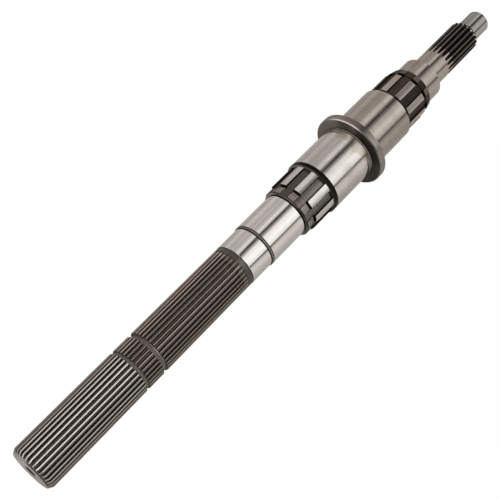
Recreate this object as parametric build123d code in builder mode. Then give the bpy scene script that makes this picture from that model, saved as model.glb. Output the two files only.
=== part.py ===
"""Main shaft of a truck gearbox: one piece of steel, turned, splined and ground.

Lengths are in millimetres and angles in degrees. The shaft is drawn standing on its
output end, with its own axis along Z. At the end it is laid down as it comes to rest,
on the flange and on the first teeth of the output spline.
"""

import os
from math import acos, atan2, cos, degrees, pi, radians, sin, sqrt, tan

from build123d import *

os.makedirs("parts", exist_ok=True)

# Output end: a plain nose, then the lead-in of the teeth
nose_length = 1.0
nose_step = 0.1
nose_corner = 0.7
output_lead_length = 2.3

# Teeth of the output side, cut in one pass along the same 32 gaps
output_teeth = 32
output_spline_length = 85.5
output_tip_diameter = 34.93
output_addendum = 0.53
output_tooth_height = 1.465
output_flank_angle = 33.0
output_cutter_radius = 25.0

# Two ring grooves part the output spline from the long one
first_groove_width = 2.8
first_groove_depth = 1.565
short_spline_length = 13.7
second_groove_width = 3.0
second_groove_depth = 1.965
groove_ledge_width = 0.7
groove_ledge_depth = 1.565
long_spline_length = 78.0
long_spline_tail = 11.7

# Journals of the output side, with the shoulder between them
rear_journal_length = 20.1
rear_journal_diameter = 35.4
rear_shoulder_length = 1.0
rear_shoulder_band = 1.6
gear_journal_length = 34.9
gear_journal_diameter = 36.8
gear_relief_width = 1.3
gear_relief_depth = 0.4

# Hub spline: a reduced collar, a snap ring groove, then ten straight-sided teeth
hub_teeth = 10
hub_collar_corner = 0.5
hub_collar_length = 4.3
hub_collar_height = 0.6
hub_ring_groove_width = 3.5
hub_ring_groove_depth = 0.2
hub_spline_length = 21.4
hub_tip_diameter = 44.0
hub_tooth_height = 1.8
hub_tooth_width = 6.8
hub_spline_turn = 4.9

# Large journals on both sides of the flange
front_shoulder_length = 1.1
front_shoulder_band = 2.9
low_gear_journal_length = 42.3
low_gear_journal_diameter = 46.6
flange_relief_width = 1.8
flange_relief_depth = 0.6
flange_bevel = 0.8
flange_rim_length = 5.0
flange_diameter = 61.8
flange_back_corner = 0.6
main_journal_length = 44.3
main_journal_diameter = 46.4
main_journal_corner = 0.4

# Sleeve spline: an undercut, ten straight-sided teeth, a snap ring groove and a tapered end ring
sleeve_teeth = 10
sleeve_undercut_width = 2.8
sleeve_undercut_depth = 0.1
sleeve_spline_length = 21.1
sleeve_tip_diameter = 43.6
sleeve_tooth_height = 1.8
sleeve_tooth_width = 6.2
sleeve_spline_turn = 14.2
sleeve_ring_groove_width = 3.3
sleeve_ring_groove_depth = 0.5
end_ring_length = 5.9
end_ring_step = 0.6
end_ring_drop = 1.3

# Front journal, neck, fine spline and pilot
front_journal_length = 18.1
front_journal_diameter = 36.2
front_journal_corner = 0.6
neck_length = 27.2
fine_teeth = 20
fine_spline_length = 35.6
fine_tip_diameter = 26.8
fine_addendum = 0.7
fine_tooth_height = 1.8
fine_flank_angle = 34.5
fine_cutter_radius = 20.0
fine_spline_turn = -1.0
fine_taper_length = 0.8
fine_taper_depth = 0.6
pilot_length = 23.5
pilot_diameter = 19.9
pilot_corner = 1.1

# Lathe centres drilled in both ends
centre_angle = 60.0
output_centre_diameter = 9.0
output_centre_drill_diameter = 4.0
output_centre_depth = 11.0
pilot_centre_diameter = 6.3
pilot_centre_drill_diameter = 2.5
pilot_centre_depth = 8.0

# How far the cutters run clear of the metal
clearance = 0.5

# Diameters that follow from the tooth heights, and from the journals beside a relief
output_pitch_diameter = output_tip_diameter - 2 * output_addendum
output_root_diameter = output_tip_diameter - 2 * output_tooth_height
nose_diameter = output_root_diameter - 2 * nose_step
first_groove_diameter = output_tip_diameter - 2 * first_groove_depth
second_groove_diameter = output_tip_diameter - 2 * second_groove_depth
groove_ledge_diameter = output_tip_diameter - 2 * groove_ledge_depth
gear_relief_diameter = gear_journal_diameter - 2 * gear_relief_depth
hub_floor_diameter = hub_tip_diameter - 2 * hub_tooth_height
hub_collar_diameter = hub_floor_diameter + 2 * hub_collar_height
hub_ring_groove_diameter = hub_floor_diameter - 2 * hub_ring_groove_depth
flange_relief_diameter = low_gear_journal_diameter - 2 * flange_relief_depth
sleeve_floor_diameter = sleeve_tip_diameter - 2 * sleeve_tooth_height
sleeve_undercut_diameter = sleeve_floor_diameter - 2 * sleeve_undercut_depth
sleeve_ring_groove_diameter = sleeve_floor_diameter - 2 * sleeve_ring_groove_depth
end_ring_large_diameter = sleeve_tip_diameter - 2 * end_ring_step
end_ring_small_diameter = end_ring_large_diameter - 2 * end_ring_drop
fine_pitch_diameter = fine_tip_diameter - 2 * fine_addendum
fine_root_diameter = fine_tip_diameter - 2 * fine_tooth_height

# Stations along the shaft, counted from the output end face
output_spline_start = nose_length + output_lead_length
first_groove_start = output_spline_start + output_spline_length
short_spline_start = first_groove_start + first_groove_width
second_groove_start = short_spline_start + short_spline_length
long_spline_start = second_groove_start + second_groove_width + groove_ledge_width
long_spline_end = long_spline_start + long_spline_length
rear_journal_start = long_spline_end + long_spline_tail
gear_journal_start = rear_journal_start + rear_journal_length + rear_shoulder_length + rear_shoulder_band
hub_collar_start = gear_journal_start + gear_journal_length + gear_relief_width
hub_spline_start = hub_collar_start + hub_collar_corner + hub_collar_length + hub_ring_groove_width
hub_spline_end = hub_spline_start + hub_spline_length
low_gear_journal_start = hub_spline_end + front_shoulder_length + front_shoulder_band
flange_start = low_gear_journal_start + low_gear_journal_length + flange_relief_width
flange_end = flange_start + flange_bevel + flange_rim_length + flange_back_corner
sleeve_undercut_start = flange_end + main_journal_length
sleeve_spline_start = sleeve_undercut_start + sleeve_undercut_width
end_ring_start = sleeve_spline_start + sleeve_spline_length + sleeve_ring_groove_width
front_journal_start = end_ring_start + end_ring_length
neck_start = front_journal_start + front_journal_length
fine_spline_start = neck_start + neck_length
fine_spline_end = fine_spline_start + fine_spline_length + fine_taper_length
shaft_length = fine_spline_end + pilot_length

# The turned outline as stretches from the output end:
# length, diameter where the stretch starts, diameter where it ends
turned_stretches = [
    (nose_corner, nose_diameter - 2 * nose_corner, nose_diameter),
    (nose_length - nose_corner, nose_diameter, nose_diameter),
    (output_lead_length, nose_diameter, output_tip_diameter),
    (output_spline_length, output_tip_diameter, output_tip_diameter),
    (first_groove_width, first_groove_diameter, first_groove_diameter),
    (short_spline_length, output_tip_diameter, output_tip_diameter),
    (second_groove_width, second_groove_diameter, second_groove_diameter),
    (groove_ledge_width, groove_ledge_diameter, groove_ledge_diameter),
    (long_spline_length + long_spline_tail, output_tip_diameter, output_tip_diameter),
    (rear_journal_length, rear_journal_diameter, rear_journal_diameter),
    (rear_shoulder_length, rear_journal_diameter, gear_journal_diameter),
    (rear_shoulder_band + gear_journal_length, gear_journal_diameter, gear_journal_diameter),
    (gear_relief_width, gear_relief_diameter, gear_relief_diameter),
    (hub_collar_corner, hub_collar_diameter - 2 * hub_collar_corner, hub_collar_diameter),
    (hub_collar_length, hub_collar_diameter, hub_collar_diameter),
    (hub_ring_groove_width, hub_ring_groove_diameter, hub_ring_groove_diameter),
    (hub_spline_length, hub_tip_diameter, hub_tip_diameter),
    (front_shoulder_length, hub_tip_diameter, low_gear_journal_diameter),
    (front_shoulder_band + low_gear_journal_length, low_gear_journal_diameter, low_gear_journal_diameter),
    (flange_relief_width, flange_relief_diameter, flange_relief_diameter),
    (flange_bevel, flange_diameter - 2 * flange_bevel, flange_diameter),
    (flange_rim_length, flange_diameter, flange_diameter),
    (flange_back_corner, flange_diameter, flange_diameter - 2 * flange_back_corner),
    (main_journal_length - main_journal_corner, main_journal_diameter, main_journal_diameter),
    (main_journal_corner, main_journal_diameter, main_journal_diameter - 2 * main_journal_corner),
    (sleeve_undercut_width, sleeve_undercut_diameter, sleeve_undercut_diameter),
    (sleeve_spline_length, sleeve_tip_diameter, sleeve_tip_diameter),
    (sleeve_ring_groove_width, sleeve_ring_groove_diameter, sleeve_ring_groove_diameter),
    (end_ring_length, end_ring_large_diameter, end_ring_small_diameter),
    (front_journal_length - front_journal_corner, front_journal_diameter, front_journal_diameter),
    (front_journal_corner, front_journal_diameter, front_journal_diameter - 2 * front_journal_corner),
    (neck_length + fine_spline_length, fine_tip_diameter, fine_tip_diameter),
    (fine_taper_length, fine_tip_diameter, fine_tip_diameter - 2 * fine_taper_depth),
    (pilot_length - pilot_corner, pilot_diameter, pilot_diameter),
    (pilot_corner, pilot_diameter, pilot_diameter - 2 * pilot_corner),
]

turned_outline = [(0, 0)]
station = 0
for length, start_diameter, end_diameter in turned_stretches:
    for corner in [(start_diameter / 2, station), (end_diameter / 2, station + length)]:
        if corner != turned_outline[-1]:
            turned_outline.append(corner)
    station += length
turned_outline.append((0, station))


def half_gap(radius, pitch_diameter, teeth, flank_angle):
    """Half the width, at a radius, of the gap between two fine teeth.

    The involute flank bows by only a few hundredths, so it is taken as straight.
    """
    half_gap_at_pitch = pi * pitch_diameter / teeth / 4
    return half_gap_at_pitch + (radius - pitch_diameter / 2) * tan(radians(flank_angle))


def fine_gap(pitch_diameter, root_diameter, tip_diameter, teeth, flank_angle):
    """Sketches the gap that faces straight down, open past the tooth tips."""
    root_radius = root_diameter / 2
    open_radius = tip_diameter / 2 + clearance
    half_floor = half_gap(root_radius, pitch_diameter, teeth, flank_angle)
    half_mouth = half_gap(open_radius, pitch_diameter, teeth, flank_angle)
    Polygon(
        (-half_floor, -root_radius),
        (half_floor, -root_radius),
        (half_mouth, -open_radius),
        (-half_mouth, -open_radius),
        align=None,
    )


def run_out_arc(root_diameter, tip_diameter, cutter_radius):
    """How far the cutter turns until its lowest tooth has left the metal."""
    depth = (tip_diameter - root_diameter) / 2 + clearance
    return degrees(acos(1 - depth / cutter_radius))


def straight_gaps(tip_diameter, floor_diameter, teeth, tooth_width, turn):
    """Sketches all gaps of a spline with parallel-sided teeth: a ring less its teeth."""
    outer_radius = tip_diameter / 2 + clearance
    Circle(outer_radius)
    Circle(floor_diameter / 2, mode=Mode.SUBTRACT)
    with PolarLocations(outer_radius / 2, teeth, start_angle=turn - 90):
        Rectangle(2 * outer_radius, tooth_width, mode=Mode.SUBTRACT)


# One pass of the cutter down the output side, with its run-out into the plain tail
output_sizes = (output_pitch_diameter, output_root_diameter, output_tip_diameter, output_teeth, output_flank_angle)
output_cutter_height = output_root_diameter / 2 + output_cutter_radius
with BuildPart() as output_gap:
    with BuildSketch(Plane.XY.offset(-clearance)):
        fine_gap(*output_sizes)
    extrude(amount=long_spline_end + clearance)
    with BuildSketch(Plane.XY.offset(long_spline_end)):
        fine_gap(*output_sizes)
    revolve(
        axis=Axis((0, -output_cutter_height, long_spline_end), (1, 0, 0)),
        revolution_arc=run_out_arc(output_root_diameter, output_tip_diameter, output_cutter_radius),
    )

# One pass of the cutter along the fine spline, which runs out into the neck
fine_sizes = (fine_pitch_diameter, fine_root_diameter, fine_tip_diameter, fine_teeth, fine_flank_angle)
fine_cutter_height = fine_root_diameter / 2 + fine_cutter_radius
with BuildPart() as fine_spline_gap:
    with BuildSketch(Plane.XY.offset(fine_spline_start)):
        fine_gap(*fine_sizes)
    extrude(amount=fine_spline_end + clearance - fine_spline_start)
    with BuildSketch(Plane.XY.offset(fine_spline_start)):
        fine_gap(*fine_sizes)
    revolve(
        axis=Axis((0, -fine_cutter_height, fine_spline_start), (-1, 0, 0)),
        revolution_arc=run_out_arc(fine_root_diameter, fine_tip_diameter, fine_cutter_radius),
    )

with BuildPart() as standing_shaft:
    # The turned blank
    with BuildSketch(Plane.XZ):
        with BuildLine():
            Polyline(*turned_outline, close=True)
        make_face()
    revolve(axis=Axis.Z)

    # Fine teeth of the output side and of the front end
    with PolarLocations(0, output_teeth):
        add(output_gap.part, mode=Mode.SUBTRACT)
    with PolarLocations(0, fine_teeth, start_angle=fine_spline_turn):
        add(fine_spline_gap.part, mode=Mode.SUBTRACT)

    # Gaps of the hub spline, open through the collar towards the output end
    with BuildSketch(Plane.XY.offset(hub_collar_start - clearance)):
        straight_gaps(hub_tip_diameter, hub_floor_diameter, hub_teeth, hub_tooth_width, hub_spline_turn)
    extrude(amount=hub_spline_end - hub_collar_start + clearance, mode=Mode.SUBTRACT)

    # Gaps of the sleeve spline, from the undercut through the end ring
    with BuildSketch(Plane.XY.offset(sleeve_spline_start - clearance)):
        straight_gaps(
            sleeve_tip_diameter, sleeve_floor_diameter, sleeve_teeth, sleeve_tooth_width, sleeve_spline_turn
        )
    extrude(amount=front_journal_start - sleeve_spline_start + 2 * clearance, mode=Mode.SUBTRACT)

    # Lathe centres
    with Locations(Plane((0, 0, 0), x_dir=(1, 0, 0), z_dir=(0, 0, -1))):
        CounterSinkHole(
            output_centre_drill_diameter / 2, output_centre_diameter / 2, output_centre_depth, centre_angle
        )
    with Locations((0, 0, shaft_length)):
        CounterSinkHole(
            pilot_centre_drill_diameter / 2, pilot_centre_diameter / 2, pilot_centre_depth, centre_angle
        )

# At rest the shaft lies on the front edge of the flange rim and on the two teeth beside the
# gap that faces down, so its own axis climbs a little from the output end to the pilot
half_gap_at_tips = half_gap(output_tip_diameter / 2, output_pitch_diameter, output_teeth, output_flank_angle)
tooth_contact_radius = sqrt((output_tip_diameter / 2) ** 2 - half_gap_at_tips**2)
flange_contact_radius = flange_diameter / 2
flange_contact_station = flange_start + flange_bevel
tilt = atan2(flange_contact_radius - tooth_contact_radius, flange_contact_station - output_spline_start)
output_end_height = flange_contact_radius * cos(tilt) - flange_contact_station * sin(tilt)
resting_plane = Plane((0, 0, output_end_height), x_dir=(0, 1, 0), z_dir=(cos(tilt), 0, sin(tilt)))

with BuildPart() as resting_shaft:
    with Locations(resting_plane):
        add(standing_shaft.part)

# The origin is under the middle of the shaft's box, on the surface that it lies on
box_centre = resting_shaft.part.bounding_box().center()
with BuildPart() as main_shaft:
    with Locations((-box_centre.X, -box_centre.Y, 0)):
        add(resting_shaft.part)

main_shaft.part.label = "main_shaft"
export_step(main_shaft.part, "parts/main_shaft.step")
print(f"length {shaft_length:.1f} mm, tilt {degrees(tilt):.3f} degrees")
print(f"output end face centre x {-box_centre.X:.3f} mm, z {output_end_height:.3f} mm")
print(f"volume {main_shaft.part.volume / 1000:.1f} cm3, box {main_shaft.part.bounding_box()}")
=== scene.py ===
"""The main shaft of a truck gearbox, lying on a pale studio table."""

from math import asin, atan2, cos, pi, radians, sin, sqrt, tan

import bmesh
import bpy
from mathutils import Matrix, Vector


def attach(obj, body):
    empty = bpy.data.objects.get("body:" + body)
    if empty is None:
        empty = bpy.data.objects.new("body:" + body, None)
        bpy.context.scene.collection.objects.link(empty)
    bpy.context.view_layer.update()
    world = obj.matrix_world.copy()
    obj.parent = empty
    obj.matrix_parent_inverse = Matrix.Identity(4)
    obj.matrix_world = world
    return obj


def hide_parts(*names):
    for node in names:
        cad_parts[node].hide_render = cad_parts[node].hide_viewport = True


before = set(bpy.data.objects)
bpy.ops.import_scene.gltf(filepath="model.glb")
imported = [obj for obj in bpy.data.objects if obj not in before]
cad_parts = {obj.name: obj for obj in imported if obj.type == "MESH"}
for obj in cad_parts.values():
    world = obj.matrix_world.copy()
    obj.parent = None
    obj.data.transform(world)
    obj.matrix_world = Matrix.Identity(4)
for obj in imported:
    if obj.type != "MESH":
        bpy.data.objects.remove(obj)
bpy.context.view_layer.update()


# Output spline: thirty-two fine teeth, a ring groove, a short run, a second groove and a long
# run of the same teeth. They are cut in one pass by a round cutter that climbs out at the end.
# The first run is rubbed bright on its tips by the yoke; the rest keeps its dark phosphate.
# Both carry painted light and shade round the shaft.

# The shaft is one piece of steel that rests on the rim of its flange and on the end of these
# teeth, so its own axis climbs a little from the output end to the pilot. Every stretch is
# modelled on that axis, in millimetres from the output end, then laid down.
axis_climb = radians(2.318)
output_end = Vector((-0.261857, 0, 0.017278))
along = Vector((cos(axis_climb), 0, sin(axis_climb)))
sideways = Vector((0, 1, 0))
upwards = along.cross(sideways)
lie = Matrix((sideways, upwards, along)).transposed().to_4x4()
lie.translation = output_end
lie = lie @ Matrix.Scale(0.001, 4)

# The camera lies this far round the shaft's axis, counted from its far side over the top.
view_turn = radians(110.1)


def fill_ramp(ramp, stops):
    """Gives a colour ramp its stops, each a position and a colour."""
    while len(ramp.elements) < len(stops):
        ramp.elements.new(0.5)
    for element, (position, colour) in zip(ramp.elements, stops):
        element.position = position
    for element, (position, colour) in zip(ramp.elements, stops):
        element.color = (*colour, 1)


def steel(
    name, colour, stain, roughness, metal=1.0, brushed=0.0, rings=0.3, stain_scale=45,
    stain_amount=0.5, specks=0.2, painted_shading=(), patch=None, shine=0.5,
):
    """A finish of the steel: rings round the shaft left by the tool, clouds of stain, fine specks.

    A brushed finish blurs what it mirrors along the shaft and keeps it sharp round the shaft.
    Painted shading lists angles round the side that is seen, from top to bottom, and the level the
    colour is multiplied by there: painted light and shade round the shaft. A patch is the station
    where a stain begins, its colour and how far it is metal. Its edge is wavy and bows away from
    the side that is seen.
    """
    material = bpy.data.materials.new(name)
    material.use_nodes = True
    nodes = material.node_tree.nodes
    links = material.node_tree.links
    surface = nodes["Principled BSDF"]
    surface.inputs["Metallic"].default_value = metal
    surface.inputs["Anisotropic"].default_value = brushed
    surface.inputs["Specular IOR Level"].default_value = shine
    grain_way = nodes.new("ShaderNodeCombineXYZ")
    for socket, part in zip(grain_way.inputs, along + 0.01 * sideways):
        socket.default_value = part
    links.new(grain_way.outputs["Vector"], surface.inputs["Tangent"])
    place = nodes.new("ShaderNodeTexCoord")
    straighten = nodes.new("ShaderNodeMapping")
    straighten.inputs["Rotation"].default_value = (0, axis_climb, 0)
    turned_end = Matrix.Rotation(axis_climb, 3, "Y") @ output_end
    straighten.inputs["Location"].default_value = -turned_end
    links.new(place.outputs["Object"], straighten.inputs["Vector"])

    def noise(scale, detail, stretch=(1, 1, 1)):
        pull = nodes.new("ShaderNodeVectorMath")
        pull.operation = "MULTIPLY"
        pull.inputs[1].default_value = stretch
        links.new(straighten.outputs["Vector"], pull.inputs[0])
        texture = nodes.new("ShaderNodeTexNoise")
        texture.inputs["Scale"].default_value = scale
        texture.inputs["Detail"].default_value = detail
        texture.inputs["Roughness"].default_value = 0.6
        links.new(pull.outputs["Vector"], texture.inputs["Vector"])
        return texture.outputs["Fac"]

    def spread(source, low, high, bottom, top):
        scale = nodes.new("ShaderNodeMapRange")
        scale.inputs["From Min"].default_value = low
        scale.inputs["From Max"].default_value = high
        scale.inputs["To Min"].default_value = bottom
        scale.inputs["To Max"].default_value = top
        links.new(source, scale.inputs["Value"])
        return scale.outputs["Result"]

    def calculate(operation, *values):
        node = nodes.new("ShaderNodeMath")
        node.operation = operation
        for socket, value in zip(node.inputs, values):
            if isinstance(value, (int, float)):
                socket.default_value = value
            else:
                links.new(value, socket)
        return node.outputs["Value"]

    def blend(factor, first, second):
        mix = nodes.new("ShaderNodeMix")
        mix.data_type = "RGBA"
        links.new(factor, mix.inputs["Factor"])
        for socket, value in ((mix.inputs["A"], first), (mix.inputs["B"], second)):
            if isinstance(value, tuple):
                socket.default_value = (*value, 1)
            else:
                links.new(value, socket)
        return mix.outputs["Result"]

    clouds = noise(stain_scale, 5)
    ring_lines = noise(1, 3, (2600, 14, 14))
    ring_bands = noise(1, 2, (420, 22, 22))
    grain = noise(2600, 2)
    darkened = 0.55
    dark = tuple(darkened * channel for channel in colour)
    stained = blend(spread(clouds, 0.46, 0.72, 0, stain_amount), colour, stain)
    ringed = blend(spread(ring_lines, 0.35, 0.75, 0, rings), stained, dark)
    banded = blend(spread(ring_bands, 0.4, 0.75, 0, rings), ringed, dark)
    finish = blend(spread(grain, 0.56, 0.78, 0, specks), banded, dark)
    towards_view = nodes.new("ShaderNodeVectorRotate")
    towards_view.rotation_type = "X_AXIS"
    towards_view.inputs["Angle"].default_value = -view_turn
    links.new(straighten.outputs["Vector"], towards_view.inputs["Vector"])
    split = nodes.new("ShaderNodeSeparateXYZ")
    links.new(towards_view.outputs["Vector"], split.inputs["Vector"])
    turned = calculate("ARCTAN2", split.outputs["Z"], split.outputs["Y"])
    if patch:
        start, patch_colour, patch_metal = patch
        wander = 0.03
        soft_edge = 0.0012
        bow = 0.01
        foremost_turn = 0.1
        wavy = calculate("MULTIPLY_ADD", noise(70, 3), wander, split.outputs["X"])
        off_foremost = calculate("ABSOLUTE", calculate("SUBTRACT", turned, foremost_turn))
        edge = calculate("MULTIPLY_ADD", off_foremost, -bow, wavy)
        border = start / 1000 + wander / 2
        inside = spread(edge, border - soft_edge, border + soft_edge, 0, 1)
        finish = blend(inside, finish, patch_colour)
        links.new(spread(inside, 0, 1, metal, patch_metal), surface.inputs["Metallic"])
    # Painted light and shade: the colour is multiplied by a level that follows the angle round the
    # shaft, counted from the side the camera sees.
    if painted_shading:
        ramp = nodes.new("ShaderNodeValToRGB")
        links.new(spread(turned, -pi / 2, pi / 2, 0, 1), ramp.inputs["Fac"])
        stops = [((angle + 90) / 180, (level, level, level)) for angle, level in painted_shading]
        fill_ramp(ramp.color_ramp, stops)
        painted_shade_mix = nodes.new("ShaderNodeMix")
        painted_shade_mix.data_type = "RGBA"
        painted_shade_mix.blend_type = "MULTIPLY"
        painted_shade_mix.inputs["Factor"].default_value = 1.0
        links.new(finish, painted_shade_mix.inputs["A"])
        links.new(ramp.outputs["Color"], painted_shade_mix.inputs["B"])
        finish = painted_shade_mix.outputs["Result"]
    links.new(finish, surface.inputs["Base Color"])
    rough_clouds = spread(clouds, 0.3, 0.75, roughness * 0.8, roughness * 1.35)
    links.new(rough_clouds, surface.inputs["Roughness"])
    bump = nodes.new("ShaderNodeBump")
    bump.inputs["Strength"].default_value = 0.25
    bump.inputs["Distance"].default_value = 0.00002
    links.new(ring_lines, bump.inputs["Height"])
    links.new(bump.outputs["Normal"], surface.inputs["Normal"])
    return material


def spline_section(mesh, half_outline, teeth, turn):
    """Draws half a pitch, mirrors it, and repeats the pitch round the shaft. Returns the loop."""
    drawn = mesh.verts.layers.float.new("drawn")
    verts = [mesh.verts.new((across, -depth, 0)) for across, depth in half_outline]
    for vert in verts:
        vert[drawn] = vert.co.length
    edges = [mesh.edges.new(pair) for pair in zip(verts, verts[1:])]
    bmesh.ops.mirror(mesh, geom=verts + edges, axis="X", merge_dist=0.0001)
    bmesh.ops.rotate(mesh, verts=mesh.verts[:], cent=(0, 0, 0), matrix=Matrix.Rotation(turn, 3, "Z"))
    pitch = 2 * pi / teeth
    bmesh.ops.spin(
        mesh, geom=mesh.verts[:] + mesh.edges[:], cent=(0, 0, 0), axis=(0, 0, 1), dvec=(0, 0, 0),
        angle=pitch * (teeth - 1), steps=teeth - 1, use_duplicate=True,
    )
    bmesh.ops.remove_doubles(mesh, verts=mesh.verts[:], dist=0.001)
    return mesh.edges[:]


def carry_along(mesh, edges, stations, climb_out=None, corner=0.1):
    """Draws the loop out along the shaft and turns each ring down to its radius.

    A station is where the ring lies, its radius, and the finish of the band that ends there:
    one finish, or three for the tops of the teeth, their sides and the floors of the gaps.
    The corner is how far below the tips a top begins. Returns the finishes in use.
    """
    drawn = mesh.verts.layers.float.get("drawn")
    heights = [vert[drawn] for vert in mesh.verts] if drawn else [0]
    tops_from = max(heights) - corner
    floors_to = min(heights) + 0.3
    rings = []
    bands = []
    for where, radius, finish in stations:
        faces = []
        if rings:
            grown = bmesh.ops.extrude_edge_only(mesh, edges=edges)["geom"]
            verts = [part for part in grown if isinstance(part, bmesh.types.BMVert)]
            faces = [part for part in grown if isinstance(part, bmesh.types.BMFace)]
            grown_edges = [part for part in grown if isinstance(part, bmesh.types.BMEdge)]
            edges = [edge for edge in grown_edges if edge.is_boundary]
        else:
            verts = list({vert for edge in edges for vert in edge.verts})
        for vert in verts:
            vert.co.z = where
        rings.append((verts, where, radius))
        bands.append((faces, finish))
    for verts, where, radius in rings:
        for vert in verts:
            if climb_out:
                climb_out(vert, where)
                vert[drawn] = vert.co.xy.length
            reach = vert.co.xy.length
            if reach > radius:
                vert.co.xy = vert.co.xy * radius / reach
    in_use = []
    for faces, finish in bands:
        for face in faces:
            reaches = [vert[drawn] for vert in face.verts] if drawn else []
            if not isinstance(finish, tuple):
                chosen = finish
            elif min(reaches) > tops_from:
                chosen = finish[0]
            elif max(reaches) < floors_to:
                chosen = finish[2]
            else:
                chosen = finish[1]
            if chosen not in in_use:
                in_use.append(chosen)
            face.material_index = in_use.index(chosen)
    return in_use


def lay_down(name, mesh, finishes):
    """Closes the stretch, lays it in its place on the shaft and hands it to the frame."""
    bmesh.ops.remove_doubles(mesh, verts=mesh.verts[:], dist=0.002)
    bmesh.ops.dissolve_degenerate(mesh, edges=mesh.edges[:], dist=0.0005)
    bmesh.ops.recalc_face_normals(mesh, faces=mesh.faces[:])
    bmesh.ops.transform(mesh, matrix=lie, verts=mesh.verts[:])
    data = bpy.data.meshes.new(name)
    mesh.to_mesh(data)
    mesh.free()
    data.shade_smooth()
    data.set_sharp_from_angle(angle=radians(28))
    for finish in finishes:
        data.materials.append(finish)
    stretch = bpy.data.objects.new(name, data)
    bpy.context.scene.collection.objects.link(stretch)
    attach(stretch, "root")
    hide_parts("main_shaft")


def fine_half_gap(radius, pitch_radius, teeth, flank_angle):
    """Half the width of the gap between two fine teeth."""
    return pi * pitch_radius / teeth / 2 + (radius - pitch_radius) * tan(radians(flank_angle))


def fine_half_pitch(root, pitch_radius, tip, teeth, flank_angle):
    """From the middle of a gap's floor, up its flank and round the tip to the middle of a tooth."""
    def on_flank(radius, shift=0):
        return (fine_half_gap(radius, pitch_radius, teeth, flank_angle) + shift, radius)

    floor = fine_half_gap(root, pitch_radius, teeth, flank_angle)
    fillet = [(floor * 0.7, root + 0.02), (floor + 0.1, root + 0.16), on_flank(root + 0.4)]
    eased_edge = [on_flank(tip - 0.22), on_flank(tip - 0.07, 0.03)]
    mouth_angle = asin(fine_half_gap(tip, pitch_radius, teeth, flank_angle) / tip)
    half_pitch = pi / teeth
    land_start = mouth_angle + 0.16 * (half_pitch - mouth_angle)
    land_angles = (land_start, (land_start + half_pitch) / 2, half_pitch)
    land = [(tip * sin(angle), tip * cos(angle)) for angle in land_angles]
    return [(0, root), *fillet, on_flank(pitch_radius), *eased_edge, *land]


def climbing_cutter(root, tip, cutter_radius, teeth, turn, start, direction):
    """The cutter leaves the gap on an arc, so past the start the gap's floor rises to the tips."""
    cutter_axis = root + cutter_radius
    way_out = sqrt(cutter_radius**2 - (cutter_axis - tip) ** 2)
    pitch = 2 * pi / teeth

    def climb_out(vert, where):
        past = min((where - start) * direction, way_out)
        if past <= 0:
            return
        angle = atan2(vert.co.x, -vert.co.y) - turn
        gap = Matrix.Rotation(round(angle / pitch) * pitch + turn, 2)
        drawn = gap @ Vector((vert.co.x, -vert.co.y))
        drawn.y = cutter_axis - sqrt((cutter_axis - drawn.y) ** 2 - past**2)
        placed = gap.transposed() @ drawn
        vert.co.x, vert.co.y = placed.x, -placed.y

    return climb_out


# Rubbed steel, with painted light and shade round the shaft.
rubbed_tips_painted_light = steel(
    "rubbed_tips_painted_light", (1.0, 0.94, 0.875), (0.88, 0.82, 0.74), 0.18, metal=0.9, rings=0.1,
    stain_amount=0.2, specks=0.1,
    painted_shading=[
        (-75, 0.5), (-62, 0.58), (-52, 1), (-38, 1), (-15, 1), (-3, 0.95), (8, 0.58), (20, 0.45),
        (32, 0.47), (43, 0.61), (55, 0.65), (70, 0.48),
    ],
)
# The tops of the dark teeth: phosphate painted lighter than on the floors, with painted light and
# shade round the shaft.
painted_light_phosphate = steel(
    "painted_light_phosphate", (0.64, 0.52, 0.43), (0.73, 0.6, 0.51), 0.35, metal=0.15, rings=0.25,
    specks=0.25,
    painted_shading=[
        (-90, 1), (-57, 1), (-46, 0.95), (-37, 0.63), (-25, 0.35), (-15, 0.37), (-2, 0.39),
        (5, 0.42), (9, 0.6), (13, 0.45), (20, 0.4), (31, 0.29), (53, 0.39), (70, 0.58), (90, 0.68),
    ],
)
phosphate = steel(
    "phosphate", (0.15, 0.122, 0.103), (0.2, 0.17, 0.145), 0.45, metal=0, rings=0.25, specks=0.25,
)
# Near black, put on the sides of teeth, narrow gap floors, grooves, undercuts, corners and bands
# beside shoulders: painted shade.
painted_shade_phosphate = steel(
    "painted_shade_phosphate", (0.014, 0.011, 0.009), (0.02, 0.016, 0.013), 0.5, rings=0.1,
)
# The sides of the teeth: dark where they face the camera, lighter towards the top and bottom edges:
# painted shade.
flank_phosphate = steel(
    "flank_phosphate", (0.12, 0.1, 0.083), (0.14, 0.117, 0.097), 0.5, metal=0, rings=0.1,
    shine=0.05,
    painted_shading=[
        (-90, 1), (-62, 0.85), (-48, 0.32), (-30, 0.1), (30, 0.07), (48, 0.2), (62, 0.65),
        (90, 0.95),
    ],
)
clean_floor = steel(
    "clean_floor", (0.105, 0.083, 0.068), (0.13, 0.103, 0.086), 0.45, metal=0, rings=0.25,
    specks=0.25,
)
# The nose and its edge carry painted light and shade round the shaft.
nose_steel = steel(
    "nose_steel", (0.52, 0.48, 0.415), (0.4, 0.37, 0.32), 0.4, metal=0.3, rings=0.3, specks=0.3,
    painted_shading=[(-90, 1), (-30, 1), (-10, 0.7), (12, 0.65), (26, 0.85), (46, 1), (90, 1)],
)
nose_ring = steel(
    "nose_ring", (0.62, 0.565, 0.52), (0.52, 0.475, 0.43), 0.4, metal=0.3, rings=0.3, specks=0.3,
)
nose_edge = steel(
    "nose_edge", (0.5, 0.47, 0.4), (0.4, 0.375, 0.32), 0.4, metal=0.3, rings=0.3, shine=0.2,
    painted_shading=[(-90, 1), (-26, 1), (-15, 0.2), (60, 0.18), (75, 0.6), (90, 0.8)],
)
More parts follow.
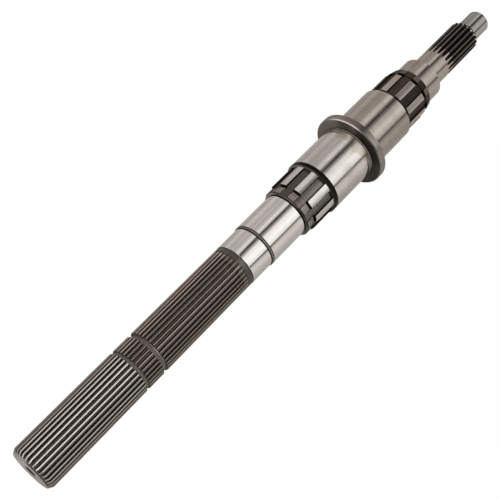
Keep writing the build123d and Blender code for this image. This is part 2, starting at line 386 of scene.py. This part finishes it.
# The ledge of the second groove: a painted highlight along its lit side, painted shade elsewhere.
ledge_edge = steel(
    "ledge_edge", (0.6, 0.55, 0.5), (0.4, 0.36, 0.32), 0.35, rings=0.1,
    painted_shading=[(-60, 0.3), (-20, 0.45), (-5, 0.9), (10, 1), (40, 1), (60, 0.6)],
)
# The tops where the gaps close: painted light and shade round the shaft.
run_out_olive = steel(
    "run_out_olive", (0.2, 0.176, 0.147), (0.15, 0.132, 0.108), 0.45, metal=0, rings=0.25,
    specks=0.25, shine=0.1,
    painted_shading=[
        (-90, 1), (-60, 1), (-50, 0.72), (-40, 0.7), (-30, 0.57), (-18, 0.47), (-10, 0.47),
        (0, 0.9), (10, 1), (20, 0.67), (30, 0.5), (60, 0.5), (90, 0.8),
    ],
)
# The sides and floors of the shallow gaps: painted shade, lighter than in the full gaps.
run_out_painted_shade = steel(
    "run_out_painted_shade", (0.07, 0.058, 0.049), (0.09, 0.075, 0.064), 0.5, metal=0, rings=0.2,
    specks=0.2, shine=0.1,
)

# The finishes of a toothed band: the tops of the teeth, their sides, the floors of the gaps.
# The sides, and the floors where the gaps run out, carry painted shade.
bright_teeth = (rubbed_tips_painted_light, flank_phosphate, clean_floor)
dark_teeth = (painted_light_phosphate, flank_phosphate, phosphate)
shallow_teeth = (painted_light_phosphate, run_out_painted_shade, run_out_painted_shade)
fading_teeth = (run_out_olive, run_out_painted_shade, run_out_painted_shade)

output_tooth_count = 32
output_tip = 17.465
output_root = 16.0
output_pitch_radius = 16.935
output_flank_angle = 33
output_cutter_radius = 25
groove_edge = 17.2
groove_floor = 15.9
deep_groove_floor = 15.5
tail_foot = 17.3
long_spline_end = 187.0

# The stations start at the bottom of the lathe centre and come out of it over the nose.
lathe_centre = [(11.0, 0.0), (11.0, 2.0), (4.33, 2.0), (0.1, 4.45)]
output_stations = [(where, radius, painted_shade_phosphate) for where, radius in lathe_centre]
output_stations += [
    (0.0, 6.5, nose_steel), (0.0, 10.5, nose_ring), (0.0, 15.1, nose_steel),
    (0.25, 15.55, nose_edge), (0.6, 15.85, nose_edge), (1.0, 15.9, nose_edge),
]
lead_in = [(1.45, 16.2), (2.0, 16.6), (2.6, 17.0), (3.05, 17.3), (3.6, output_tip)]
first_run = [(88.5, output_tip), (88.8, groove_edge)]
output_stations += [(where, radius, bright_teeth) for where, radius in lead_in + first_run]

# The first ring groove, the short run, the second groove with its ledge, and the long run.
output_stations += [
    (88.8, groove_floor, phosphate), (91.6, groove_floor, phosphate),
    (91.6, groove_edge, flank_phosphate), (91.9, output_tip, dark_teeth),
    (105.0, output_tip, dark_teeth), (105.3, groove_edge, dark_teeth),
    (105.3, deep_groove_floor, phosphate), (108.3, deep_groove_floor, phosphate),
    (108.3, groove_floor, phosphate), (108.6, groove_floor, ledge_edge),
    (109.0, groove_floor, phosphate), (109.0, groove_edge, flank_phosphate),
    (109.3, output_tip, dark_teeth), (long_spline_end, output_tip, dark_teeth),
]

# The run-out, where the gaps grow shallow and close, and the plain tail.
for past in (1.5, 2.8):
    output_stations.append((long_spline_end + past, output_tip, dark_teeth))
for past in (4.0, 5.0, 6.0):
    output_stations.append((long_spline_end + past, output_tip, shallow_teeth))
for past in (6.9, 7.7, 8.3):
    output_stations.append((long_spline_end + past, output_tip, fading_teeth))
output_stations += [
    (196.2, output_tip, run_out_olive), (198.0, output_tip, run_out_olive),
    (198.1, tail_foot, painted_shade_phosphate), (199.2, tail_foot, painted_shade_phosphate),
    (199.2, 0.0, painted_shade_phosphate),
]

output_mesh = bmesh.new()
output_outline = fine_half_pitch(
    output_root, output_pitch_radius, output_tip, output_tooth_count, output_flank_angle
)
output_loop = spline_section(output_mesh, output_outline, output_tooth_count, turn=0)
output_climb = climbing_cutter(
    output_root, output_tip, output_cutter_radius, output_tooth_count, turn=0,
    start=long_spline_end, direction=1,
)
output_finishes = carry_along(output_mesh, output_loop, output_stations, output_climb)
lay_down("output_spline", output_mesh, output_finishes)


# Rear and gear journals: two bright ground seats with a dark shoulder between them, for the
# rear bearing and a free-turning gear. Turned with the blank, hardened, then ground.
def turned_loop(mesh, facets=224):
    """A full circle, wider than any stretch of the shaft, ready to be turned down."""
    bmesh.ops.create_circle(mesh, segments=facets, radius=60)
    return mesh.edges[:]


# Its levels round the shaft are painted light and shade.
bright_ground = steel(
    "bright_ground", (0.87, 0.84, 0.805), (0.75, 0.71, 0.67), 0.12, rings=0.1, stain_amount=0.35,
    specks=0.08,
    painted_shading=[
        (-90, 1), (-70, 0.96), (-60, 0.91), (-40, 0.96), (-30, 0.91), (-20, 0.73), (-12, 1),
        (-8, 1), (0, 0.88), (10, 0.87), (20, 0.82), (28, 0.95), (38, 0.8), (50, 0.87), (60, 0.85),
        (70, 0.8), (90, 1),
    ],
)
shoulder_olive = steel(
    "shoulder_olive", (0.2, 0.18, 0.145), (0.15, 0.13, 0.105), 0.4, metal=0.3, rings=0.2,
    specks=0.3,
)
rear_journal = 17.7
gear_journal = 18.4
gear_journal_relief = 18.0
journal_stations = [
    (198.7, 0.0, painted_shade_phosphate), (198.7, 17.5, painted_shade_phosphate),
    (198.9, rear_journal, bright_ground), (218.6, rear_journal, bright_ground),
    (219.1, 17.9, painted_shade_phosphate), (219.5, 18.18, painted_shade_phosphate),
    (219.8, gear_journal, shoulder_olive), (220.7, gear_journal, shoulder_olive),
    (221.4, gear_journal, painted_shade_phosphate), (256.1, gear_journal, bright_ground),
    (256.3, 18.2, bright_ground), (256.3, gear_journal_relief, painted_shade_phosphate),
    (258.1, gear_journal_relief, painted_shade_phosphate), (258.1, 0.0, painted_shade_phosphate),
]
journal_mesh = bmesh.new()
journal_finishes = carry_along(journal_mesh, turned_loop(journal_mesh), journal_stations)
lay_down("gear_journals", journal_mesh, journal_finishes)


# Hub spline: a low collar, a snap ring groove, then ten wide straight-sided teeth that carry a
# synchroniser hub. The gaps run out through the collar. The tops of the teeth are ground.
def straight_half_pitch(tip, floor, teeth, tooth_width):
    """From the middle of a tooth's top, down its side and along the floor to mid-gap."""
    half_width = tooth_width / 2
    chamfer = 0.3
    fillet = 0.5
    fillet_height = 0.3
    half_pitch = pi / teeth
    top_end = asin((half_width - chamfer) / tip)
    floor_start = asin((half_width + fillet) / floor)
    shares = (0, 0.25, 0.5, 0.75, 1)
    top_angles = [top_end * share for share in shares]
    floor_angles = [floor_start + (half_pitch - floor_start) * share for share in shares]
    outline = [(tip * sin(angle), tip * cos(angle)) for angle in top_angles]
    outline.append((half_width, sqrt(tip**2 - half_width**2) - chamfer))
    outline.append((half_width, sqrt(floor**2 - half_width**2) + fillet_height))
    outline += [(floor * sin(angle), floor * cos(angle)) for angle in floor_angles]
    return outline


ground_lands = steel(
    "ground_lands", (0.68, 0.65, 0.62), (0.57, 0.54, 0.51), 0.22, rings=0.12, specks=0.1,
)
# The floors of the hub gaps: painted light and shade round the shaft.
hub_brown = steel(
    "hub_brown", (0.25, 0.217, 0.183), (0.17, 0.147, 0.125), 0.33, metal=0.7, rings=0.25,
    specks=0.4,
    painted_shading=[
        (-75, 0.6), (-28, 0.42), (-10, 0.36), (-5, 0.4), (0, 0.75), (8, 1), (14, 0.9), (34, 0.75),
        (45, 0.45), (54, 0.4), (70, 0.6),
    ],
)
collar_brown = steel(
    "collar_brown", (0.33, 0.287, 0.257), (0.17, 0.143, 0.122), 0.4, metal=0.4, rings=0.3,
    stain_scale=120, stain_amount=0.9, specks=0.4,
)
# The collar's front face: painted light and shade round the shaft.
collar_face = steel(
    "collar_face", (0.42, 0.375, 0.31), (0.3, 0.265, 0.215), 0.4, metal=0.3, rings=0.2, specks=0.3,
    shine=0.2,
    painted_shading=[
        (-90, 1), (-70, 1), (-60, 0.6), (-50, 0.45), (-40, 0.6), (-20, 0.95), (-10, 0.95),
        (0, 0.7), (10, 0.4), (20, 0.22), (30, 0.22), (40, 0.4), (60, 0.28), (90, 0.35),
    ],
)
hub_tooth_count = 10
hub_tooth_width = 6.8
hub_turn = radians(4.9)
hub_tip = 22.0
hub_floor = 20.2
collar_top = 20.8
hub_groove_floor = 20.0
hub_teeth = (ground_lands, painted_shade_phosphate, hub_brown)
collar_teeth = (collar_brown, painted_shade_phosphate, hub_brown)
# In the ring groove, the floor in line with the teeth and the teeth's front faces are painted black
# as shade.
hub_walls = (painted_shade_phosphate, painted_shade_phosphate, hub_brown)
hub_stations = [
    (257.6, 0.0, painted_shade_phosphate), (257.6, 18.3, painted_shade_phosphate), (257.6, 20.3, collar_face),
    (258.1, collar_top, painted_shade_phosphate), (262.2, collar_top, collar_teeth),
    (262.4, 20.5, collar_teeth), (262.4, hub_groove_floor, hub_walls),
    (265.0, hub_groove_floor, collar_teeth), (265.9, hub_groove_floor, hub_walls),
    (265.9, 21.75, hub_walls), (266.15, hub_tip, hub_walls), (287.0, hub_tip, hub_teeth),
    (287.8, hub_tip, hub_teeth), (287.8, 0.0, painted_shade_phosphate),
]
hub_mesh = bmesh.new()
hub_outline = straight_half_pitch(hub_tip, hub_floor, hub_tooth_count, hub_tooth_width)
hub_loop = spline_section(hub_mesh, hub_outline, hub_tooth_count, hub_turn)
hub_finishes = carry_along(hub_mesh, hub_loop, hub_stations, corner=0.2)
lay_down("hub_spline", hub_mesh, hub_finishes)


# Flange and the two large journals: the widest part of the forging. Free-turning gears run on
# the journals and bear on the flange, whose front edge is bevelled and carries a painted
# highlight, and whose rim is dull.
# The stain patch is the steel's own; the levels round the shaft are painted light and shade.
ground = steel(
    "ground", (0.8, 0.765, 0.72), (0.62, 0.58, 0.53), 0.14, rings=0.12, stain_scale=80,
    stain_amount=0.6, specks=0.1, patch=(321, (0.6, 0.55, 0.465), 0.95),
    painted_shading=[
        (-90, 1), (-70, 1), (-60, 0.9), (-50, 0.83), (-30, 0.83), (-20, 0.78), (-8, 0.77),
        (0, 0.8), (10, 0.82), (20, 0.78), (28, 0.93), (36, 0.82), (50, 0.75), (60, 0.68),
        (72, 0.58), (90, 0.6),
    ],
)
# Painted light and shade round the shaft.
dull_ground = steel(
    "dull_ground", (0.59, 0.543, 0.48), (0.48, 0.437, 0.378), 0.16, rings=0.25, stain_scale=60,
    specks=0.15,
    painted_shading=[
        (-90, 0.96), (-62, 0.95), (-42, 0.85), (-36, 0.79), (-28, 0.85), (-22, 0.98), (-14, 0.83),
        (-4, 0.69), (3, 0.62), (12, 0.76), (20, 0.64), (45, 0.62), (62, 0.68), (90, 0.7),
    ],
)
# Dull steel, with painted light and shade round the shaft.
rim_steel = steel(
    "rim_steel", (0.375, 0.335, 0.3), (0.27, 0.24, 0.215), 0.3, brushed=0.4, rings=0.35,
    specks=0.3,
    painted_shading=[
        (-75, 1), (-60, 0.95), (-40, 0.88), (-30, 0.74), (-23, 0.53), (-16, 0.34), (-9, 0.6),
        (0, 0.54), (10, 0.65), (20, 0.85), (28, 1), (42, 0.78), (60, 0.85), (90, 0.7),
    ],
)
# A painted highlight along the upper side of the bevel, painted shade below.
bevel_steel = steel(
    "bevel_steel", (0.95, 0.89, 0.79), (0.8, 0.74, 0.65), 0.3, metal=0.6, rings=0.1,
    painted_shading=[
        (-80, 0.25), (-66, 0.4), (-56, 0.95), (-22, 1), (-15, 0.85), (-9, 0.35), (0, 0.12),
        (20, 0.07), (30, 0.14), (42, 0.24), (70, 0.24),
    ],
)
# The flange face: painted light and shade round the shaft.
face_phosphate = steel(
    "face_phosphate", (0.25, 0.223, 0.19), (0.19, 0.167, 0.141), 0.45, metal=0.1, rings=0.3,
    specks=0.4, shine=0.1,
    painted_shading=[
        (-90, 1), (-60, 1), (-47, 0.5), (-32, 0.4), (-20, 0.55), (-10, 0.2), (0, 0.1), (50, 0.13),
        (66, 0.25), (90, 0.25),
    ],
)
# A tan stain at the end of the journal, with a painted glint and painted shade round the shaft.
stained_edge_painted_light = steel(
    "stained_edge_painted_light", (0.97, 0.88, 0.74), (0.85, 0.77, 0.64), 0.5, metal=0.1, rings=0.2, specks=0.2,
    shine=0.2,
    painted_shading=[
        (-90, 0.18), (-60, 0.22), (-50, 0.44), (-40, 0.29), (-28, 0.45), (-19, 0.85), (-13, 0.4),
        (-9, 0.13), (-3, 0.5), (3, 0.8), (10, 1), (20, 0.7), (29, 0.17), (38, 0.33), (50, 0.32),
        (60, 0.22), (80, 0.09),
    ],
)
relief_brown = steel(
    "relief_brown", (0.6, 0.52, 0.44), (0.5, 0.43, 0.36), 0.5, metal=0, rings=0.2, shine=0.1,
)
low_gear_journal = 23.3
main_journal = 23.2
flange_rim = 30.9
flange_relief = 22.7
flange_stations = [
    (287.3, 0.0, face_phosphate), (287.3, 22.0, face_phosphate), (288.1, 22.9, face_phosphate),
    (288.4, low_gear_journal, painted_shade_phosphate), (291.3, low_gear_journal, painted_shade_phosphate),
    (330.3, low_gear_journal, ground), (332.9, low_gear_journal, stained_edge_painted_light),
    (333.6, 23.1, painted_shade_phosphate), (333.6, flange_relief, painted_shade_phosphate),
    (334.0, flange_relief, painted_shade_phosphate), (334.8, flange_relief, relief_brown),
    (335.4, flange_relief, painted_shade_phosphate), (335.4, 30.1, face_phosphate),
    (336.2, flange_rim, bevel_steel), (341.2, flange_rim, rim_steel), (341.8, 30.3, rim_steel),
    (341.8, main_journal, phosphate), (385.7, main_journal, dull_ground),
    (386.1, 22.8, dull_ground), (386.1, 0.0, painted_shade_phosphate),
]
flange_mesh = bmesh.new()
flange_loop = turned_loop(flange_mesh, facets=288)
flange_finishes = carry_along(flange_mesh, flange_loop, flange_stations)
lay_down("flange", flange_mesh, flange_finishes)


# Sleeve spline: an undercut, ten straight-sided teeth for the second synchroniser hub, a snap
# ring groove and a tapered end ring that the ten gaps run through.
# The tops of the sleeve teeth: painted light and shade round the shaft.
sleeve_lands = steel(
    "sleeve_lands", (0.56, 0.505, 0.46), (0.42, 0.375, 0.335), 0.36, rings=0.2, specks=0.2,
    painted_shading=[
        (-85, 0.15), (-68, 0.3), (-55, 1), (-28, 1), (-10, 0.73), (-3, 0.75), (0, 0.9), (18, 0.68),
        (30, 0.7), (38, 1), (46, 0.9), (70, 0.98),
    ],
)
# The floors of the sleeve gaps: painted light and shade round the shaft.
sleeve_brown = steel(
    "sleeve_brown", (0.08, 0.061, 0.05), (0.11, 0.086, 0.071), 0.45, rings=0.2, specks=0.4,
    painted_shading=[(-90, 1), (-22, 0.95), (-10, 0.72), (8, 0.42), (20, 0.38), (45, 0.8), (90, 1)],
)
end_olive = steel(
    "end_olive", (0.13, 0.116, 0.098), (0.08, 0.07, 0.058), 0.4, metal=0.4, rings=0.2, specks=0.4,
)
sleeve_tooth_count = 10
sleeve_tooth_width = 6.2
sleeve_turn = radians(14.2)
sleeve_tip = 21.8
sleeve_edge = 21.55
sleeve_floor = 20.0
undercut = 19.9
sleeve_groove_floor = 19.5
sleeve_teeth = (sleeve_lands, painted_shade_phosphate, sleeve_brown)
# The walls of the ring groove, and its floor in line with the teeth, are painted black as shade.
sleeve_walls = (painted_shade_phosphate, painted_shade_phosphate, sleeve_brown)
sleeve_groove = (sleeve_brown, painted_shade_phosphate, sleeve_brown)
end_ring = (end_olive, painted_shade_phosphate, sleeve_brown)
sleeve_stations = [
    (385.6, 0.0, painted_shade_phosphate), (385.6, undercut, painted_shade_phosphate),
    (388.9, undercut, painted_shade_phosphate), (388.9, sleeve_edge, painted_shade_phosphate),
    (389.15, sleeve_tip, sleeve_teeth), (409.75, sleeve_tip, sleeve_teeth),
    (410.0, sleeve_edge, sleeve_teeth), (410.0, sleeve_groove_floor, sleeve_walls),
    (411.5, sleeve_groove_floor, sleeve_groove), (413.3, sleeve_groove_floor, sleeve_walls),
    (413.3, 21.1, sleeve_walls), (413.5, 21.15, end_ring), (419.2, 19.9, end_ring),
    (419.2, 0.0, sleeve_brown),
]
sleeve_mesh = bmesh.new()
sleeve_outline = straight_half_pitch(
    sleeve_tip, sleeve_floor, sleeve_tooth_count, sleeve_tooth_width
)
sleeve_loop = spline_section(sleeve_mesh, sleeve_outline, sleeve_tooth_count, sleeve_turn)
sleeve_finishes = carry_along(sleeve_mesh, sleeve_loop, sleeve_stations, corner=0.2)
lay_down("sleeve_spline", sleeve_mesh, sleeve_finishes)


# Front journal: a plain ground seat for a bearing, between the sleeve spline and the neck. Its
# grinding is worn to a satin, like the neck's beside it.
# Satin steel, with painted light and shade round the shaft.
satin = steel(
    "satin", (0.505, 0.452, 0.396), (0.405, 0.362, 0.315), 0.15, rings=0.25, stain_scale=60,
    specks=0.2,
    painted_shading=[
        (-90, 0.95), (-60, 0.94), (-45, 0.85), (-30, 0.96), (-20, 0.92), (-8, 0.98), (0, 0.63),
        (10, 0.73), (20, 0.65), (30, 0.83), (40, 0.8), (50, 0.96), (65, 1), (90, 0.9),
    ],
)
front_journal = 18.1
front_stations = [
    (418.7, 0.0, satin), (418.7, front_journal, satin), (436.7, front_journal, satin),
    (437.3, 17.5, satin), (437.3, 0.0, satin),
]
front_mesh = bmesh.new()
front_finishes = carry_along(front_mesh, turned_loop(front_mesh), front_stations)
lay_down("front_journal", front_mesh, front_finishes)


# Neck and fine spline: the neck is turned to the size of the tooth tips, and the twenty teeth
# start where the cutter dips into it. Their free ends are eased so that a hub slides on.
# The tops of the fine teeth: painted light and shade round the shaft.
fine_lands = steel(
    "fine_lands", (0.16, 0.134, 0.111), (0.19, 0.16, 0.133), 0.4, metal=0.1, rings=0.2, specks=0.3,
    shine=0.3,
    painted_shading=[(-90, 1), (-40, 1), (-20, 0.65), (0, 0.37), (20, 0.48), (40, 0.68), (90, 0.7)],
)
fine_tooth_count = 20
fine_tip = 13.4
fine_root = 11.6
fine_pitch_radius = 12.7
fine_flank_angle = 34.5
fine_cutter_radius = 20
fine_turn = radians(-1)
fine_spline_start = 464.5
# The sides and floors of the fine teeth are painted black as shade.
fine_run_out = (satin, painted_shade_phosphate, painted_shade_phosphate)
fine_teeth = (fine_lands, painted_shade_phosphate, painted_shade_phosphate)
# Near their free ends the tops of the teeth take the bright ground finish for a short band: a
# painted glint.
fine_ends_painted_glint = (ground_lands, painted_shade_phosphate, painted_shade_phosphate)
fine_stations = [(436.8, 0.0, satin), (436.8, fine_tip, satin), (455.8, fine_tip, satin)]
for before in (8.27, 7.9, 7.3, 6.5, 5.6, 4.6, 3.4, 1.9, 0):
    fine_stations.append((fine_spline_start - before, fine_tip, fine_run_out))
fine_stations += [
    (498.0, fine_tip, fine_teeth), (499.1, fine_tip, fine_ends_painted_glint),
    (500.1, fine_tip, painted_shade_phosphate), (500.9, 12.8, painted_shade_phosphate),
    (500.9, 0.0, painted_shade_phosphate),
]
fine_mesh = bmesh.new()
fine_outline = fine_half_pitch(
    fine_root, fine_pitch_radius, fine_tip, fine_tooth_count, fine_flank_angle
)
fine_loop = spline_section(fine_mesh, fine_outline, fine_tooth_count, fine_turn)
fine_climb = climbing_cutter(
    fine_root, fine_tip, fine_cutter_radius, fine_tooth_count, fine_turn,
    start=fine_spline_start, direction=-1,
)
fine_finishes = carry_along(fine_mesh, fine_loop, fine_stations, fine_climb, corner=0.05)
lay_down("fine_spline", fine_mesh, fine_finishes)


# Pilot: the ground nose that turns in the roller bearing inside the input shaft. Its end keeps
# the lathe centre.
# Painted light and shade round the shaft.
pilot_steel = steel(
    "pilot_steel", (0.46, 0.435, 0.4), (0.37, 0.35, 0.322), 0.12, rings=0.2, specks=0.2,
    painted_shading=[
        (-70, 0.65), (-50, 0.86), (-30, 1), (-20, 0.93), (-10, 0.7), (0, 0.56), (10, 0.69),
        (20, 0.54), (30, 0.72), (42, 0.93), (52, 1), (90, 1),
    ],
)
pilot_radius = 9.95
pilot_stations = [
    (500.4, 0.0, pilot_steel), (500.4, pilot_radius, pilot_steel),
    (523.3, pilot_radius, pilot_steel), (523.9, 9.55, pilot_steel), (524.4, 8.9, pilot_steel),
    (524.4, 3.2, pilot_steel), (521.11, 1.25, painted_shade_phosphate), (516.4, 1.25, painted_shade_phosphate),
    (516.4, 0.0, painted_shade_phosphate),
]
pilot_mesh = bmesh.new()
pilot_loop = turned_loop(pilot_mesh, facets=160)
pilot_finishes = carry_along(pilot_mesh, pilot_loop, pilot_stations)
lay_down("pilot", pilot_mesh, pilot_finishes)


# Table: a pale sheet under the shaft, white to the camera, that keeps a faint shadow. In the
# steel's reflections it is a warm grey with a painted shadow, darkest under and close beside the
# shaft.
table_mesh = bmesh.new()
bmesh.ops.create_grid(table_mesh, x_segments=1, y_segments=1, size=6)
table_data = bpy.data.meshes.new("table")
table_mesh.to_mesh(table_data)
table_mesh.free()
table = bpy.data.objects.new("table", table_data)
bpy.context.scene.collection.objects.link(table)
paper = bpy.data.materials.new("paper")
paper.use_nodes = True
paper_nodes = paper.node_tree.nodes
paper_links = paper.node_tree.links
paper_surface = paper_nodes["Principled BSDF"]
paper_surface.inputs["Base Color"].default_value = (0.8, 0.8, 0.8, 1)
paper_surface.inputs["Roughness"].default_value = 0.9
paper_place = paper_nodes.new("ShaderNodeTexCoord")
paper_split = paper_nodes.new("ShaderNodeSeparateXYZ")
paper_links.new(paper_place.outputs["Object"], paper_split.inputs["Vector"])
# Painted shadow of the shaft on the table, seen only in reflections.
paper_painted_shadow = paper_nodes.new("ShaderNodeMapRange")
paper_painted_shadow.inputs["From Min"].default_value = -0.01
paper_painted_shadow.inputs["From Max"].default_value = -0.15
paper_painted_shadow.inputs["To Min"].default_value = 0.47
paper_painted_shadow.inputs["To Max"].default_value = 0.88
paper_links.new(paper_split.outputs["Y"], paper_painted_shadow.inputs["Value"])
paper_ray = paper_nodes.new("ShaderNodeLightPath")
paper_level = paper_nodes.new("ShaderNodeMix")
paper_level.data_type = "FLOAT"
paper_links.new(paper_ray.outputs["Is Camera Ray"], paper_level.inputs["Factor"])
paper_links.new(paper_painted_shadow.outputs["Result"], paper_level.inputs["A"])
paper_level.inputs["B"].default_value = 1.02
paper_glow = paper_nodes.new("ShaderNodeEmission")
paper_links.new(paper_level.outputs["Result"], paper_glow.inputs["Strength"])
paper_tint = paper_nodes.new("ShaderNodeMix")
paper_tint.data_type = "RGBA"
paper_links.new(paper_ray.outputs["Is Camera Ray"], paper_tint.inputs["Factor"])
paper_tint.inputs["A"].default_value = (1, 0.945, 0.91, 1)
paper_tint.inputs["B"].default_value = (1, 1, 1, 1)
paper_links.new(paper_tint.outputs["Result"], paper_glow.inputs["Color"])
paper_seen = paper_nodes.new("ShaderNodeMath")
paper_seen.operation = "MAXIMUM"
paper_links.new(paper_ray.outputs["Is Camera Ray"], paper_seen.inputs[0])
paper_links.new(paper_ray.outputs["Is Glossy Ray"], paper_seen.inputs[1])
paper_share = paper_nodes.new("ShaderNodeMath")
paper_share.operation = "MULTIPLY"
paper_share.inputs[1].default_value = 0.975
paper_links.new(paper_seen.outputs["Value"], paper_share.inputs[0])
paper_mix = paper_nodes.new("ShaderNodeMixShader")
paper_links.new(paper_share.outputs["Value"], paper_mix.inputs["Fac"])
paper_links.new(paper_surface.outputs["BSDF"], paper_mix.inputs[1])
paper_links.new(paper_glow.outputs["Emission"], paper_mix.inputs[2])
paper_links.new(paper_mix.outputs["Shader"], paper_nodes["Material Output"].inputs["Surface"])
table_data.materials.append(paper)


# Studio: a white room. Round the shaft's length it is lit as by a long bright softbox in front
# and above, a dimmer one behind, and a dark gap between the two.
world = bpy.data.worlds.new("studio")
bpy.context.scene.world = world
world.use_nodes = True
world_nodes = world.node_tree.nodes
world_links = world.node_tree.links
room = world_nodes["Background"]
room_direction = world_nodes.new("ShaderNodeTexCoord")
room_split = world_nodes.new("ShaderNodeSeparateXYZ")
world_links.new(room_direction.outputs["Generated"], room_split.inputs["Vector"])
room_angle = world_nodes.new("ShaderNodeMath")
room_angle.operation = "ARCTAN2"
world_links.new(room_split.outputs["Z"], room_angle.inputs[0])
world_links.new(room_split.outputs["Y"], room_angle.inputs[1])
room_share = world_nodes.new("ShaderNodeMapRange")
room_share.inputs["From Min"].default_value = 0
room_share.inputs["From Max"].default_value = pi
world_links.new(room_angle.outputs["Value"], room_share.inputs["Value"])
softboxes = world_nodes.new("ShaderNodeValToRGB")
world_links.new(room_share.outputs["Result"], softboxes.inputs["Fac"])
lit = [
    (0, 0.6), (8, 0.67), (18, 0.65), (28, 0.52), (38, 0.52), (47, 0.6), (55, 0.54), (62, 0.62),
    (69, 0.86), (76, 1.0), (81, 0.95), (86, 0.38), (90, 0.08), (95, 0.04), (98, 0.2), (102, 0.4),
    (106, 0.6), (110, 0.95), (114, 1.14), (122, 1.15), (130, 1.28), (139, 1.38), (150, 1.22),
    (155, 1.12), (159, 0.9), (162, 0.15), (166, 0.08), (169, 0.5), (174, 0.68), (180, 0.85),
]
ramp_top = 2


def warm_where_dim(level):
    """The room is a little warmer where it is dim. A ramp ends at 1, so its levels are scaled."""
    dim = max(0, 1 - level)
    green = level * (1 - 0.16 * dim)
    blue = level * (1 - 0.2 * dim)
    return (level / ramp_top, green / ramp_top, blue / ramp_top)


fill_ramp(softboxes.color_ramp, [(angle / 180, warm_where_dim(level)) for angle, level in lit])
room_strength = world_nodes.new("ShaderNodeVectorMath")
room_strength.operation = "SCALE"
room_strength.inputs["Scale"].default_value = ramp_top
world_links.new(softboxes.outputs["Color"], room_strength.inputs[0])
room_ray = world_nodes.new("ShaderNodeLightPath")
room_level = world_nodes.new("ShaderNodeMix")
room_level.data_type = "RGBA"
world_links.new(room_ray.outputs["Is Camera Ray"], room_level.inputs["Factor"])
world_links.new(room_strength.outputs["Vector"], room_level.inputs["A"])
room_level.inputs["B"].default_value = (1, 1, 1, 1)
world_links.new(room_level.outputs["Result"], room.inputs["Color"])
room.inputs["Strength"].default_value = 1


# Camera: above and in front of the shaft, the output end nearest, as the photograph was taken.
# The shaft runs from the lower left corner of the frame to the upper right.
focal_pixels = 926.3
frame_pixels = 500
axis_away = radians(24.86)
camera_distance = 0.6724
aim_along = 0.2159
aim_across = 0.00029
shaft_run = 0.70539
shaft_rise = 0.70882
towards = sideways * cos(view_turn) + upwards * sin(view_turn)
sight = along * sin(axis_away) - towards * cos(axis_away)
shaft_in_frame = along * cos(axis_away) + towards * sin(axis_away)
across_in_frame = along.cross(towards)
to_right = shaft_in_frame * shaft_run + across_in_frame * shaft_rise
to_top = shaft_in_frame * shaft_rise - across_in_frame * shaft_run
aimed_at = output_end + along * aim_along - across_in_frame * aim_across
camera_data = bpy.data.cameras.new("camera")
camera_data.sensor_width = 36
camera_data.lens = camera_data.sensor_width * focal_pixels / frame_pixels
camera = bpy.data.objects.new("camera", camera_data)
turn = Matrix((to_right, to_top, -sight)).transposed()
camera.matrix_world = turn.to_4x4()
camera.location = aimed_at - sight * camera_distance
bpy.context.scene.collection.objects.link(camera)
bpy.context.scene.camera = camera
bpy.context.scene.view_settings.view_transform = "Standard"
